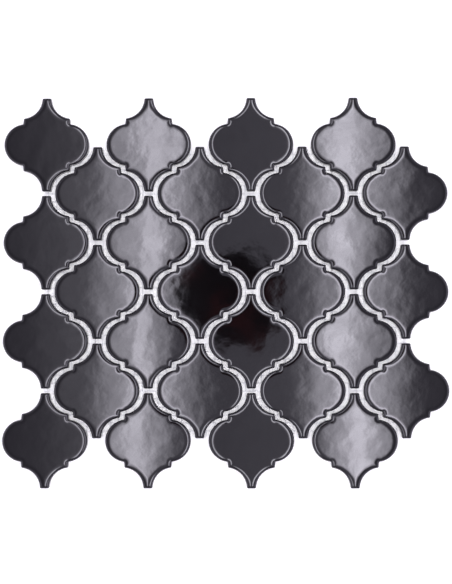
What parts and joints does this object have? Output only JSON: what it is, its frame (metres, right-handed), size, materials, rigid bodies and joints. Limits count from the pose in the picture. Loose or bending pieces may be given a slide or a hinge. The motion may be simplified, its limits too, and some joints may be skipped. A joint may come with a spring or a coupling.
{
  "type": "arabesque lantern mosaic tile sheet",
  "caption": "Flat sheet of glossy black lantern-shaped ceramic tiles in interlocking columns, held at even joints by a woven fibreglass backing mesh, for walls and floors.",
  "frame": {"origin": "centre of the sheet's footprint at the underside of its backing mesh", "axes": "+X across the columns, the sheet's longest side, with the column of four tiles first at -X; +Y along the tiles' tips, which is up in the picture; +Z out of the glazed faces"},
  "size_m": [0.28, 0.246, 0.0065],
  "materials": {
    "glaze": "high gloss charcoal black glaze over white porcelain, which shows bare at the foot of the walls and on the back",
    "backing_mesh": "white fibreglass net"
  },
  "bodies": {
    "root": {"tile_column_1_row_1": "glaze", "tile_column_1_row_2": "glaze", "tile_column_1_row_3": "glaze", "tile_column_1_row_4": "glaze", "tile_column_2_row_1": "glaze", "tile_column_2_row_2": "glaze", "tile_column_2_row_3": "glaze", "tile_column_3_row_1": "glaze", "tile_column_3_row_2": "glaze", "tile_column_3_row_3": "glaze", "tile_column_3_row_4": "glaze", "tile_column_4_row_1": "glaze", "tile_column_4_row_2": "glaze", "tile_column_4_row_3": "glaze", "tile_column_5_row_1": "glaze", "tile_column_5_row_2": "glaze", "tile_column_5_row_3": "glaze", "tile_column_5_row_4": "glaze", "tile_column_6_row_1": "glaze", "tile_column_6_row_2": "glaze", "tile_column_6_row_3": "glaze", "tile_column_7_row_1": "glaze", "tile_column_7_row_2": "glaze", "tile_column_7_row_3": "glaze", "tile_column_7_row_4": "glaze", "tile_column_8_row_1": "glaze", "tile_column_8_row_2": "glaze", "tile_column_8_row_3": "glaze", "mesh_warp_threads": "backing_mesh", "mesh_weft_threads": "backing_mesh"}
  },
  "joints": []
}
